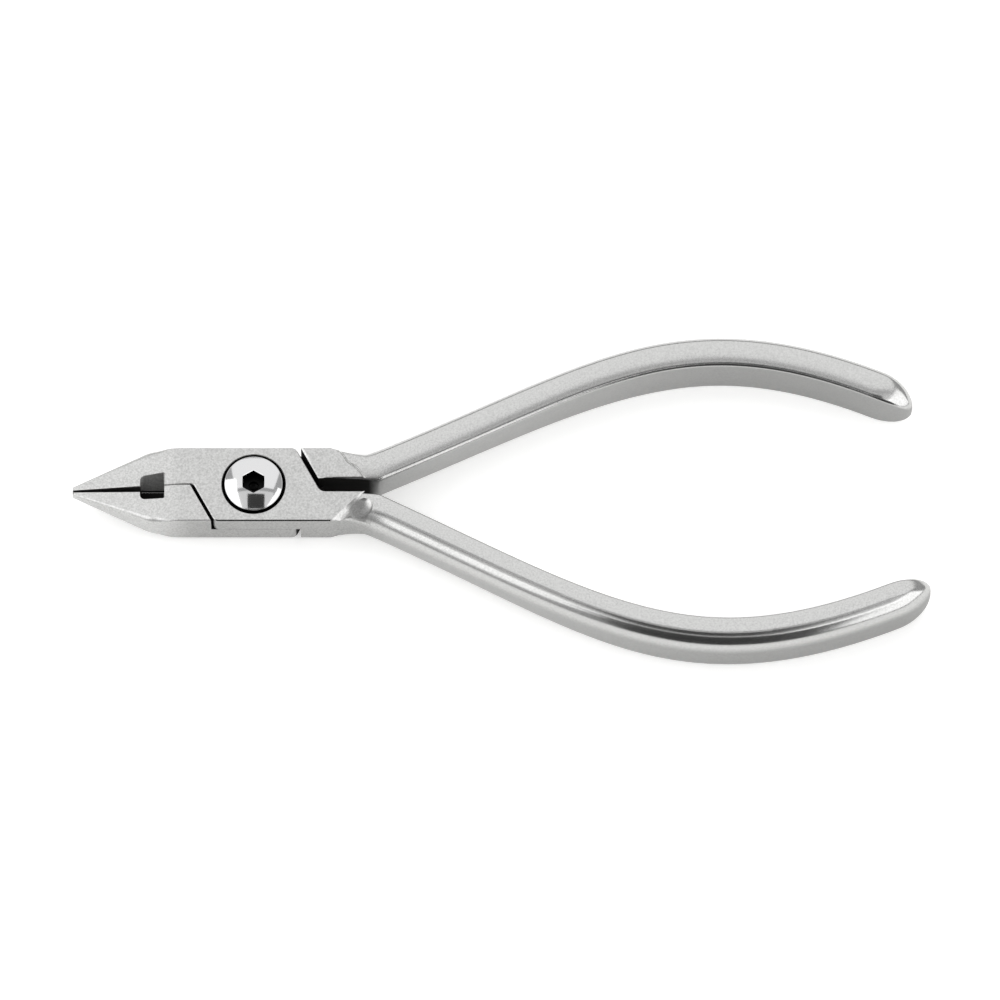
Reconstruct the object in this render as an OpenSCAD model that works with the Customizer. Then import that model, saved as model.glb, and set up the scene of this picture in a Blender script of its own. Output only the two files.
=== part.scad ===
// Lap-joint sprue nippers: two crossing levers that turn on one domed pivot screw.
// +X runs from the pivot along the handles, +Z is the joint's face with the screw head.
// The origin is on the pivot axis, at the joint's flat back face.

/* [Joint] */
// Width of the joint across its flat sides
joint_w = 11.5; // [9:0.1:14]
// Thickness of the joint, both plates together
joint_t = 6.6; // [5.4:0.1:8]
// Gap between the two plates at the lap
lap_gap = 0.04; // [0.02:0.01:0.1]
// Angle of the slanted slots from square across the joint
slot_angle = 28.5; // [22:0.5:34]
// Distance from the pivot axis to the plate's slanted edge on the jaw side
plate_reach_jaw = 7.7; // [7:0.05:9]
// Distance from the pivot axis to the plate's slanted edge on the handle side
plate_reach_handle = 8.05; // [7.2:0.05:9.4]
// Width of the slanted slot on the jaw side
jaw_slot_w = 0.46; // [0.35:0.01:0.8]
// Width of the slanted slot on the handle side
shoulder_slot_w = 0.7; // [0.5:0.01:1]
// Smallest gap left when a plate corner swings past the other lever
corner_pass = 0.08; // [0.05:0.01:0.2]
// Width of the straight gap between the two necks
neck_gap = 2.1; // [1.6:0.1:3]
// Distance from the pivot axis to the end of the neck gap
neck_l = 18.3; // [16:0.1:22]
// Distance from the pivot axis to where the joint's flat face starts to run out
face_l = 11.2; // [10:0.1:13]

/* [Jaws] */
// Distance from the pivot axis to the jaw tips
jaw_l = 26.4; // [22:0.1:34]
// Distance from the pivot axis to where the jaws begin to get thinner
jaw_thin_from = 11; // [10:0.1:12.5]
// Distance from the pivot axis to where the jaws begin to get narrower
jaw_narrow_from = 14.9; // [13:0.1:18]
// Width of one jaw at its tip
tip_w = 0.6; // [0.5:0.05:1.2]
// Thickness of the jaws at their tips
tip_t = 1.5; // [1:0.1:3]
// Radius of the jaw's outer corner, seen from the front
jaw_corner_r = 6; // [1:0.1:8]
// Gap between the closed jaws
edge_gap = 0.08; // [0.04:0.01:0.2]
// Angle of the cutting bevel from the closing plane
bevel_angle = 20; // [14:1:35]
// Distance from the pivot axis to the near wall of the window
window_x = 13; // [12:0.1:15]
// Length of the window along the jaws
window_l = 3.5; // [2.5:0.1:5]
// Height of the window across both jaws
window_h = 4; // [3:0.1:5]
// Radius of the window's far corner
window_r = 0.7; // [0.2:0.1:1]
// Slope of the window's wall above the lap, from upright
window_slope = 34; // [20:1:45]
// Distance from the closing plane to the foot of that wall, at the lap
window_foot = 0.15; // [0.1:0.05:0.5]

/* [Handles] */
// Distance from the pivot axis to the end of the front lever's handle
front_handle_l = 98.6; // [80:0.1:125]
// Distance from the pivot axis to the end of the rear lever's handle
rear_handle_l = 95.8; // [78:0.1:123]
// Distance from the closing plane to the centre of a handle's end
end_offset = 13.8; // [10:0.1:20]
// Width of a handle, seen from the front
handle_w = 4.8; // [3.8:0.05:5.8]
// Thickness of a handle at the neck
neck_t = 6.4; // [5:0.1:8]
// Thickness of a handle at the grip
grip_t = 8.3; // [6.5:0.1:10]
// Angle at which the handles leave the joint
flare_angle = 24.7; // [18:0.1:30]
// Angle at which the handle ends turn inwards
toe_angle = 25.9; // [15:0.1:32]
// Length over which the first half of the handle stays straight
bow_near = 37.6; // [30:0.1:45]
// Length over which the second half of the handle stays straight
bow_far = 39.1; // [30:0.1:45]
// Height of the rounded front and back of a handle
handle_crown = 0.35; // [0.1:0.05:0.7]
// Corner radius of the handle's section
handle_edge_r = 1.2; // [0.3:0.1:1.5]
// Lean of both handles to one side about the pivot
handle_lean = 1.05; // [0:0.05:2]

/* [Pivot screw] */
// Diameter of the screw head
head_d = 8.45; // [7:0.05:10]
// Gap all round between the head and its counterbore
head_gap = 0.48; // [0.3:0.01:0.8]
// Depth of the counterbore that takes the head
head_seat = 1.5; // [1:0.1:2]
// Height of the head's straight rim above the joint's face
head_stand = 0.3; // [0:0.05:0.6]
// Height of the dome above the rim
dome_h = 0.9; // [0.5:0.05:1.4]
// Diameter of the shank that the front lever turns on
shank_d = 5; // [4:0.1:6]
// Running gap between the shank and its bore
shank_gap = 0.03; // [0.01:0.01:0.08]
// Gap under the screw head
seat_gap = 0.04; // [0.02:0.01:0.1]
// Diameter of the threaded end
thread_d = 4; // [3:0.1:5]
// Width across the flats of the hex socket
socket_af = 3.05; // [2.5:0.05:4]
// Depth of the hex socket
socket_depth = 2; // [1.2:0.1:2.4]
// Diameter of the drilled hole at the bottom of the socket
drill_d = 1.5; // [1:0.1:2]
// Depth of the drilled hole below the socket
drill_depth = 0.8; // [0.3:0.1:1.2]

/* [Hidden] */

mid_z = joint_t / 2;
half_w = joint_w / 2;
half_t = joint_t / 2;
steel = [0.78, 0.78, 0.79];
screw_steel = [0.86, 0.86, 0.87];
round_fn = 96;
over = 1;           // how far a cut runs past the face that it opens

// Where the slanted edges meet the closing plane: the plate's, and the other lever's across the slot
jaw_edge_x = plate_reach_jaw / cos(slot_angle);
jaw_stop_x = (plate_reach_jaw + jaw_slot_w) / cos(slot_angle);
shoulder_edge_x = plate_reach_handle / cos(slot_angle);
shoulder_stop_x = (plate_reach_handle + shoulder_slot_w) / cos(slot_angle);
neck_y = neck_gap / 2;
bend_r = 1.2;       // inner bend of the handle-side slot
jaw_bend_r = 0.5;   // inner bend of the jaw-side slot
plate_corner_r = 0.8; // outer corners of the plate, beside the slots

handle_end = [front_handle_l, end_offset];
inner_foot = [neck_l, neck_y];
foot = inner_foot + handle_w / 2 * [-sin(flare_angle), cos(flare_angle)];
outer_foot = 2 * foot - inner_foot;
near_pull = foot + bow_near * [cos(flare_angle), sin(flare_angle)];
far_pull = handle_end + bow_far * [-cos(toe_angle), sin(toe_angle)];
neck_steps = 6;
handle_steps = 30;
nose_steps = 5;
grip_from = 0.1;    // share of the handle's curve where it begins to get thicker
grip_to = 0.55;     // share where it has its full thickness
nose_drop = 3.2;    // how much thinner a handle gets over its rounded end, each side
nose_share = 1.3;   // length of the rounded end, as a share of the handle's width

function unit(v) = v / norm(v);
function turn(p, a) = [p[0] * cos(a) - p[1] * sin(a), p[0] * sin(a) + p[1] * cos(a)];
function smooth(x) = let (c = max(0, min(1, x))) c * c * (3 - 2 * c);

// Points of the arc of radius r that rounds the corner p between its neighbours
function corner_arc(before, p, after, r, steps = 8) =
    r <= 0 ? [p] :
    let (u = unit(before - p), v = unit(after - p), half = acos(u * v) / 2,
         c = p + unit(u + v) * r / sin(half), start = p + u * r / tan(half) - c,
         side = u[0] * v[1] - u[1] * v[0] > 0 ? -1 : 1)
    [for (i = [0:steps]) c + turn(start, side * (180 - 2 * half) * i / steps)];

// An outline given as [x, y, corner radius], with its corners rounded
function rounded(outline) =
    let (n = len(outline), p = [for (o = outline) [o[0], o[1]]])
    [for (i = [0:n - 1]) each corner_arc(p[(i + n - 1) % n], p[i], p[(i + 1) % n], outline[i][2])];

// Where a slanted edge above the lap that meets the closing plane at x crosses height y.
// Below the lap the edges slant the other way, so y changes sign there.
function slant_x(x, y) = x - y * tan(slot_angle);

// The lever lies with its plate above the lap, its jaw towards +Y and its handle towards -Y.
module plate_outline() {
    intersection() {
        polygon(rounded([
            [-jaw_l, edge_gap / 2, 0],
            [-jaw_edge_x, edge_gap / 2, jaw_bend_r],
            [slant_x(-jaw_edge_x, -half_w), -half_w, plate_corner_r],
            [face_l, -half_w, 0],
            [face_l + half_w - neck_y, -neck_y, 0],
            [slant_x(shoulder_edge_x, -neck_y), -neck_y, bend_r],
            [slant_x(shoulder_edge_x, half_w), half_w, plate_corner_r],
            [-jaw_narrow_from, half_w, jaw_corner_r],
            [-jaw_l, tip_w, 0]]));
        swing_limits();
    }
}

// Everything but the corners that would not swing past the other lever. Only what lies short of
// the nearest point of a slanted edge, on its way there as the jaws open, is limited.
module swing_limits() {
    union() {
        circle(r = plate_reach_jaw + jaw_slot_w - corner_pass, $fn = round_fn);
        rotate(slot_angle) translate([-2 * jaw_l, 0]) square([2 * jaw_l, jaw_l]);
        rotate(slot_angle) translate([0, -jaw_l]) square([2 * face_l, jaw_l]);
        intersection() {
            circle(r = plate_reach_handle + shoulder_slot_w - corner_pass, $fn = round_fn);
            translate([0, -joint_w]) square([2 * face_l, 2 * joint_w]);
        }
    }
}

// The jaw below the lap, which ends at the other lever's plate
module jaw_root_outline() {
    polygon(rounded([
        [-jaw_l, edge_gap / 2, 0],
        [-jaw_stop_x, edge_gap / 2, jaw_bend_r],
        [slant_x(-jaw_stop_x, -half_w), half_w, 0],
        [-jaw_narrow_from, half_w, jaw_corner_r],
        [-jaw_l, tip_w, 0]]));
}

// The shoulder below the lap, which starts at the other lever's plate
module shoulder_outline() {
    polygon([
        [slant_x(shoulder_stop_x, neck_y), -neck_y],
        [slant_x(shoulder_stop_x, half_w), -half_w],
        [face_l, -half_w],
        [face_l + half_w - neck_y, -neck_y]]);
}

// Wedges that thin the jaw towards its tip, front and back
module thinning_cuts() {
    slope_l = jaw_l - jaw_thin_from;
    for (side = [-1, 1])
        translate([0, joint_w, 0]) rotate([90, 0, 0]) linear_extrude(2 * joint_w)
            polygon([
                [-jaw_thin_from, side * half_t],
                [-jaw_l - over, side * (tip_t / 2 - over * (half_t - tip_t / 2) / slope_l)],
                [-jaw_l - over, side * (half_t + over)],
                [-jaw_thin_from, side * (half_t + over)]]);
}

// The half of the window that is in this jaw. Its wall is upright below the lap, and above it
// slopes down to a foot beside the closing plane.
module window_cut() {
    deep = half_t + over;
    intersection() {
        translate([0, 0, -deep]) linear_extrude(2 * deep)
            polygon(rounded([
                [-window_x, -over, 0],
                [-window_x, window_h / 2, 0.2],
                [-window_x - window_l, window_h / 2, window_r],
                [-window_x - window_l, -over, 0]]));
        rotate([90, 0, -90]) linear_extrude(jaw_l)
            polygon([
                [2 * over, -deep],
                [-window_h, -deep],
                [-window_h, 0],
                [-window_foot, 0],
                [-window_foot - deep * tan(window_slope), deep],
                [2 * over, deep]]);
    }
}

// The cutting bevel, on the side of the jaw below the lap
module bevel_cut() {
    depth = half_t + over;
    translate([-window_x - window_l / 2, 0, 0]) rotate([90, 0, -90]) linear_extrude(jaw_l)
        polygon([
            [-edge_gap / 2, 0],
            [-edge_gap / 2 - depth * tan(bevel_angle), -depth],
            [over, -depth],
            [over, 0]]);
}

// Centre of the handle at share t of its curve, and the direction across it, outwards
function bow(t) =
    pow(1 - t, 3) * foot + 3 * pow(1 - t, 2) * t * near_pull
    + 3 * (1 - t) * t * t * far_pull + pow(t, 3) * handle_end;
function across(t) =
    let (d = pow(1 - t, 2) * (near_pull - foot) + 2 * (1 - t) * t * (far_pull - near_pull)
             + t * t * (handle_end - far_pull))
    unit([-d[1], d[0]]);
function half_thick(t) =
    (neck_t + (grip_t - neck_t) * smooth((t - grip_from) / (grip_to - grip_from))) / 2;

// Stations are [centre, direction across, half width, half thickness, share of the lean].
// In the neck they fan out from the end of the joint's face to the handle's foot.
function neck_station(u) =
    let (inner = [face_l + (neck_l - face_l) * u, neck_y],
         start = [face_l, half_w - 0.1],
         pull = [(face_l + outer_foot[0]) / 2, outer_foot[1] - 0.45],
         outer = pow(1 - u, 2) * start + 2 * (1 - u) * u * pull + u * u * outer_foot)
    [(inner + outer) / 2, unit(outer - inner), norm(outer - inner) / 2, neck_t / 2, u];
function handle_station(t) = [bow(t), across(t), handle_w / 2, half_thick(t), 1];
function nose_station(t, q) =
    let (left = sqrt(1 - q * q))
    [bow(t), across(t), handle_w / 2 * left, half_thick(t) - nose_drop * (1 - left), 1];

// One ring of the handle's section: a rounded rectangle with a raised front and back
function ring(s, lean) =
    let (a = s[2], r = min(handle_edge_r, 0.9 * a), b = s[3] - handle_crown)
    [for (quarter = [0:3], i = [0:4])
        let (angle = 90 * quarter + (i < 4 ? 30 * i : 90),
             along = (quarter == 0 || quarter == 3 ? 1 : -1) * (a - r) + r * cos(angle),
             up = (quarter < 2 ? 1 : -1) * (b - r) + r * sin(angle),
             crown = handle_crown * (1 - pow(along / a, 2)) * (quarter < 2 ? 1 : -1),
             mid = i == 4 && (quarter == 0 || quarter == 2),
             p = turn(s[0] + (mid ? 0 : along) * s[1], lean * s[4]))
        if (i < 4 || mid)
            [p[0], -p[1], mid ? (quarter < 2 ? 1 : -1) * s[3] : up + crown]];

module handle(reach, lean) {
    t_end = 1 - (front_handle_l - reach) / (3 * bow_far * cos(toe_angle));
    t_nose = t_end - nose_share * handle_w / (3 * bow_far);
    stations = concat(
        [for (i = [0:neck_steps - 1]) neck_station(i / neck_steps)],
        [for (i = [0:handle_steps]) handle_station(t_nose * i / handle_steps)],
        [for (i = [1:nose_steps])
            let (q = sin(84 * i / nose_steps)) nose_station(t_nose + (t_end - t_nose) * q, q)]);
    rings = [for (s = stations) ring(s, lean)];
    n = len(rings[0]);
    last = len(rings) - 1;
    polyhedron(
        points = [for (r = rings) each r],
        faces = concat(
            [[for (j = [n - 1:-1:0]) j]],
            [for (i = [0:last - 1], j = [0:n - 1])
                let (k = (j + 1) % n) [i * n + j, i * n + k, (i + 1) * n + k, (i + 1) * n + j]],
            [[for (j = [0:n - 1]) last * n + j]]));
}

// One lever, before the hole for the screw is made
module lever(reach, lean) {
    difference() {
        union() {
            translate([0, 0, lap_gap / 2]) linear_extrude(half_t - lap_gap / 2) plate_outline();
            translate([0, 0, -half_t]) linear_extrude(half_t + lap_gap / 2) jaw_root_outline();
            translate([0, 0, -half_t]) linear_extrude(half_t + lap_gap / 2) shoulder_outline();
            handle(reach, lean);
        }
        thinning_cuts();
        window_cut();
        bevel_cut();
    }
}

module front_lever() {
    color(steel) translate([0, 0, mid_z]) difference() {
        lever(front_handle_l, handle_lean);
        translate([0, 0, -over]) cylinder(d = shank_d + 2 * shank_gap, h = half_t + 2 * over, $fn = round_fn);
        translate([0, 0, half_t - head_seat])
            cylinder(d = head_d + 2 * head_gap, h = head_seat + over, $fn = round_fn);
    }
}

module rear_lever() {
    color(steel) translate([0, 0, mid_z]) rotate([180, 0, 0]) difference() {
        lever(rear_handle_l, -handle_lean);
        translate([0, 0, -over]) cylinder(d = thread_d, h = half_t + 2 * over, $fn = round_fn);
    }
}

module pivot_screw() {
    head_r = head_d / 2;
    under_z = joint_t - head_seat + seat_gap;
    rim_z = joint_t + head_stand;
    dome_r = (head_r * head_r + dome_h * dome_h) / (2 * dome_h);
    top_z = rim_z + dome_h;
    color(screw_steel) difference() {
        union() {
            translate([0, 0, under_z]) cylinder(r = head_r, h = rim_z - under_z, $fn = round_fn);
            intersection() {
                translate([0, 0, top_z - dome_r]) sphere(r = dome_r, $fn = round_fn);
                translate([0, 0, under_z]) cylinder(r = head_r, h = top_z, $fn = round_fn);
            }
            translate([0, 0, mid_z + lap_gap / 2]) cylinder(d = shank_d, h = under_z - mid_z, $fn = round_fn);
            cylinder(d = thread_d, h = under_z, $fn = round_fn);
        }
        translate([0, 0, top_z - socket_depth]) rotate(30)
            cylinder(d = socket_af / cos(30), h = socket_depth + over, $fn = 6);
        translate([0, 0, top_z - socket_depth - drill_depth])
            cylinder(d = drill_d, h = drill_depth + over, $fn = round_fn);
    }
}

front_lever();
rear_lever();
pivot_screw();
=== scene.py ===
import math

import bpy
import numpy as np
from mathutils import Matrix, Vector


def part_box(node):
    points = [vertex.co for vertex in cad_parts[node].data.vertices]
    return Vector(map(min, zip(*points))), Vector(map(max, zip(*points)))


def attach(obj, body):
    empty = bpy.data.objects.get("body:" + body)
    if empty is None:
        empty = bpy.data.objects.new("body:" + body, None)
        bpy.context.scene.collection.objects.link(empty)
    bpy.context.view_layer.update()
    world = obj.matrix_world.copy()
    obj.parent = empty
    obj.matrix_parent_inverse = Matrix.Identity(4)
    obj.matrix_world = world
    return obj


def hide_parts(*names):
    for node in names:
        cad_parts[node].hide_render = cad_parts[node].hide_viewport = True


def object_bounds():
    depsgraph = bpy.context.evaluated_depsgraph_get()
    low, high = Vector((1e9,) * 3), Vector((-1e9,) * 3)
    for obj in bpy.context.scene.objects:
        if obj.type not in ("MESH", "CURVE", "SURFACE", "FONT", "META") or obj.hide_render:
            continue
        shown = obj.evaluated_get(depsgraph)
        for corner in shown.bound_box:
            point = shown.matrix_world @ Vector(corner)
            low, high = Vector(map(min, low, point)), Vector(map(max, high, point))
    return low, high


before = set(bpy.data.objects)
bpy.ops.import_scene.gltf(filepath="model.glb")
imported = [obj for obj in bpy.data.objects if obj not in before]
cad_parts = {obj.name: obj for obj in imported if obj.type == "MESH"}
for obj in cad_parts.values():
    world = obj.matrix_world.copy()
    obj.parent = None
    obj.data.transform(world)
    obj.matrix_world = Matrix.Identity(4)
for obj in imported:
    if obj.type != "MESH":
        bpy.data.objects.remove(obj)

cadBox = [list(corner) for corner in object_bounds()]
print("frame loaded:", ", ".join(sorted(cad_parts)))

toMetres = 0.001      # shapes are worked out in millimetres and scaled once, as their mesh is finished
over = 1.0            # how far a cutting shape reaches past what it cuts


def boxInMillimetres(node):
    # lowest and highest corner of a CAD node, as arrays
    low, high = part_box(node)
    return np.array(low) / toMetres, np.array(high) / toMetres


frontLow, frontHigh = boxInMillimetres("front_lever")
screwHigh = boxInMillimetres("pivot_screw")[1]


def unit(vectors):
    # each vector divided by its length
    return vectors / np.linalg.norm(vectors, axis=-1, keepdims=True)


def smooth(x):
    # 3 x^2 - 2 x^3 between 0 and 1, flat outside
    x = np.clip(x, 0, 1)
    return x * x * (3 - 2 * x)


def turned(points, angle):
    # points turned about +Z: (x cos a - y sin a, x sin a + y cos a)
    c, s = np.cos(angle), np.sin(angle)
    x, y = points[..., 0], points[..., 1]
    return np.stack([x * c - y * s, x * s + y * c], -1)


def roundedOutline(corners, steps=8):
    # Corners are [x, y, radius]. Each becomes an arc that touches both of its sides: the centre lies
    # on the corner's bisector, at radius / sin(half the corner's angle).
    corners = np.array(corners, float)
    point, radius = corners[:, :2], corners[:, 2]
    toBefore = unit(np.roll(point, 1, 0) - point)
    toAfter = unit(np.roll(point, -1, 0) - point)
    half = np.arccos(np.clip((toBefore * toAfter).sum(1), -1, 1)) / 2
    centre = point + unit(toBefore + toAfter) * (radius / np.sin(half))[:, None]
    start = point + toBefore * (radius / np.tan(half))[:, None] - centre
    leftward = toBefore[:, 0] * toAfter[:, 1] - toBefore[:, 1] * toAfter[:, 0] > 0
    sweep = np.where(leftward, -1, 1) * (math.pi - 2 * half)
    angle = sweep[:, None] * np.linspace(0, 1, steps + 1)
    arcs = centre[:, None] + turned(start[:, None], angle)
    keep = (radius > 0)[:, None] | (np.arange(steps + 1) == 0)
    return arcs[keep]


def splitAt(outline, x):
    # a point is added wherever a side of the outline crosses the line at x
    after = np.roll(outline, -1, 0)
    crosses = (outline[:, 0] - x) * (after[:, 0] - x) < -1e-9
    run = np.where(crosses, after[:, 0] - outline[:, 0], 1)
    added = outline + (after - outline) * ((x - outline[:, 0]) / run)[:, None]
    at = np.flatnonzero(crosses)
    return np.insert(outline, at + 1, added[at], 0)


def inset(outline, amount):
    # each point of an anticlockwise outline moves inwards along its mitre, by the amount at that point
    side = unit(np.roll(outline, -1, 0) - outline)
    inwards = np.stack([-side[:, 1], side[:, 0]], 1)
    before = np.roll(inwards, 1, 0)
    mitre = (inwards + before) / (1 + (inwards * before).sum(1))[:, None]
    return outline + mitre * np.broadcast_to(amount, len(outline))[:, None]


def withHeight(outline, z):
    # a plan outline lifted to z, which is one height or one for each point
    return np.column_stack([outline, np.broadcast_to(z, len(outline))])


def circle(radius, z, steps=96):
    # radius (cos a, sin a) at height z
    angle = np.arange(steps) * 2 * math.pi / steps
    return np.column_stack([radius * np.cos(angle), radius * np.sin(angle), np.full(steps, float(z))])


def closedStack(name, rings, creases=()):
    # Rings of equal length, one after another, with a quad between each pair of points and their
    # neighbours on the next ring. The end rings are closed by flat faces, split at the creases.
    rings = np.array(rings, float)
    levels, count = rings.shape[:2]
    index = np.arange(levels * count).reshape(levels, count)
    following = np.roll(index, -1, 1)
    sides = np.stack([index[:-1], following[:-1], following[1:], index[1:]], -1).reshape(-1, 4)
    caps = []
    for ring, backwards in ((index[0], True), (index[-1], False)):
        if len(creases) == 2:
            first, second = creases
            parts = [ring[first:second + 1], np.concatenate([ring[second:], ring[:first + 1]])]
        else:
            parts = [ring]
        caps += [part[::-1].tolist() if backwards else part.tolist() for part in parts]
    mesh = bpy.data.meshes.new(name)
    mesh.from_pydata(rings.reshape(-1, 3), [], sides.tolist() + caps)
    faceOutwards(mesh)
    solid = bpy.data.objects.new(name, mesh)
    bpy.context.scene.collection.objects.link(solid)
    return solid


def signedVolume(mesh):
    # sum of a . (b x c) / 6 over the mesh's triangles
    mesh.calc_loop_triangles()
    corners = np.zeros(len(mesh.loop_triangles) * 3, np.int32)
    mesh.loop_triangles.foreach_get("vertices", corners)
    places = np.zeros(len(mesh.vertices) * 3, np.float32)
    mesh.vertices.foreach_get("co", places)
    a, b, c = places.reshape(-1, 3)[corners.reshape(-1, 3)].astype(float).transpose(1, 0, 2)
    return (a * np.cross(b, c)).sum() / 6


def faceOutwards(mesh):
    # a closed mesh whose faces point inwards has a negative volume
    if signedVolume(mesh) < 0:
        mesh.flip_normals()


def combined(solid, tools):
    # The solid after each tool in turn is joined to it or cut from it. Tools are (object, operation).
    for tool, operation in tools:
        step = solid.modifiers.new(operation.lower(), "BOOLEAN")
        step.object = tool
        step.operation = operation
        step.solver = "EXACT"
    evaluated = solid.evaluated_get(bpy.context.evaluated_depsgraph_get())
    mesh = bpy.data.meshes.new_from_object(evaluated)
    mesh.name = solid.name
    solid.modifiers.clear()
    solid.data = mesh
    for tool, operation in tools:
        bpy.data.objects.remove(tool)
    return solid


def markPaintedShade(solid, paintedShadeOf):
    # A face attribute holds each face's share of painted shade, a dark colour put where shade falls, 1 in
    # slots and bores. The function passed in works it out from the faces' centres and directions.
    faces = len(solid.data.polygons)
    centres, directions = np.zeros(faces * 3, np.float32), np.zeros(faces * 3, np.float32)
    solid.data.polygons.foreach_get("center", centres)
    solid.data.polygons.foreach_get("normal", directions)
    shares = paintedShadeOf(centres.reshape(-1, 3), directions.reshape(-1, 3))
    paintedShadeShare = solid.data.attributes.new("paintedShadeShare", "FLOAT", "FACE")
    paintedShadeShare.data.foreach_set("value", shares.astype(np.float32))


shading = {
    "crease": 32.0,             # degrees between two faces, past which their edge stays sharp
    "flatWeight": 60,           # how strongly broad faces keep their own direction
}


def finished(solid, turn, lift, body, node, material):
    # The mesh is turned about +X, lifted to its height and scaled to metres. Faces shade smoothly
    # across shallow edges, and broad flat faces keep their own direction.
    places = np.zeros(len(solid.data.vertices) * 3, np.float32)
    solid.data.vertices.foreach_get("co", places)
    x, y, z = places.reshape(-1, 3).T
    c, s = math.cos(turn), math.sin(turn)
    placed = np.column_stack([x, y * c - z * s, y * s + z * c + lift]) * toMetres
    solid.data.vertices.foreach_set("co", placed.ravel())
    solid.data.materials.clear()
    solid.data.materials.append(material)
    solid.data.shade_smooth()
    solid.data.set_sharp_from_angle(angle=math.radians(shading["crease"]))
    solid.data.update()
    even = solid.modifiers.new("flat faces stay flat", "WEIGHTED_NORMAL")
    even.weight = shading["flatWeight"]
    even.keep_sharp = True
    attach(solid, body)
    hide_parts(node)
    return solid


def linear(hexColour):
    # sRGB hex to linear light, as ((c + 0.055) / 1.055) ^ 2.4 above the straight part
    channels = np.array([int(hexColour[i:i + 2], 16) / 255 for i in (1, 3, 5)])
    light = np.where(channels <= 0.04045, channels / 12.92, ((channels + 0.055) / 1.055) ** 2.4)
    return (*light, 1)


def addNode(tree, kind, settings=(), links=()):
    # settings are a node's own properties, or its sockets by name or number; links are (socket, source)
    node = tree.nodes.new(kind)
    for name, value in dict(settings).items():
        if isinstance(name, str) and name in node.bl_rna.properties:
            setattr(node, name, value)
        else:
            node.inputs[name].default_value = value
    for name, source in dict(links).items():
        tree.links.new(source, node.inputs[name])
    return node


def emptyMaterial(name):
    # a material without nodes, and its tree
    material = bpy.data.materials.new(name)
    material.use_nodes = True
    material.node_tree.nodes.clear()
    return material, material.node_tree


def placeInMillimetres(tree):
    # the place on the piece, in its own coordinates
    place = addNode(tree, "ShaderNodeTexCoord").outputs["Object"]
    return addNode(tree, "ShaderNodeVectorMath", {"operation": "SCALE", "Scale": 1 / toMetres},
                   {"Vector": place}).outputs["Vector"]


# Sockets are numbered where names repeat. A Mix node has its first and second colour at 6 and 7, and the
# mixed one at 2. A Map Range has its value at 0, the range it comes from at 1 and 2, and the range it
# goes to at 3 and 4.
steelLook = {
    "colour": "#CBCBCA",
    "shade": "#ADADAC",             # colour in the grain's hollows
    "paintedShade": "#2B2A29",              # painted shade on the walls of slots and bores and in other recesses
    "roughness": (0.34, 0.19),      # blasted and buffed
    "paintedShadeRoughness": 0.6,           # roughness that the painted shade adds
    "buffing": (15.0, 21.0),        # mm from the pivot, where blasted changes to buffed
    "buffedGrain": 0.42,            # share of the grain that buffing leaves
    "grain": 0.27,                  # mm across a pit left by the blasting beads
    "grainDepth": 0.0016,           # mm
    "grainRange": (0.3, 0.65),      # the noise's values in the hollows and on the tops
    "cloud": 3.0,                   # mm across the faint clouds of uneven gloss
    "cloudRange": (0.3, 0.7),       # the noise's values at their least and greatest gloss
    "cloudRoughness": (0.9, 1.1),   # by which they multiply the roughness there
    "paintedShadeFade": (15.8, 18.6),       # mm from the pivot, where the painted shade between the necks fades out
    "upright": (0.08, 0.45),        # height of a face's direction, where side changes to front
    "darkSides": (-14.0, -8.0),     # mm from the pivot, where painted shade makes the sides darker than on the jaws
    "grip": (30.0, 75.0),           # mm from the pivot, where their painted shade gets darker still
    "sideShade": (0.25, 0.4),       # how much painted shade they get before and after that, where 1 is the slots' painted shade
}


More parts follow.
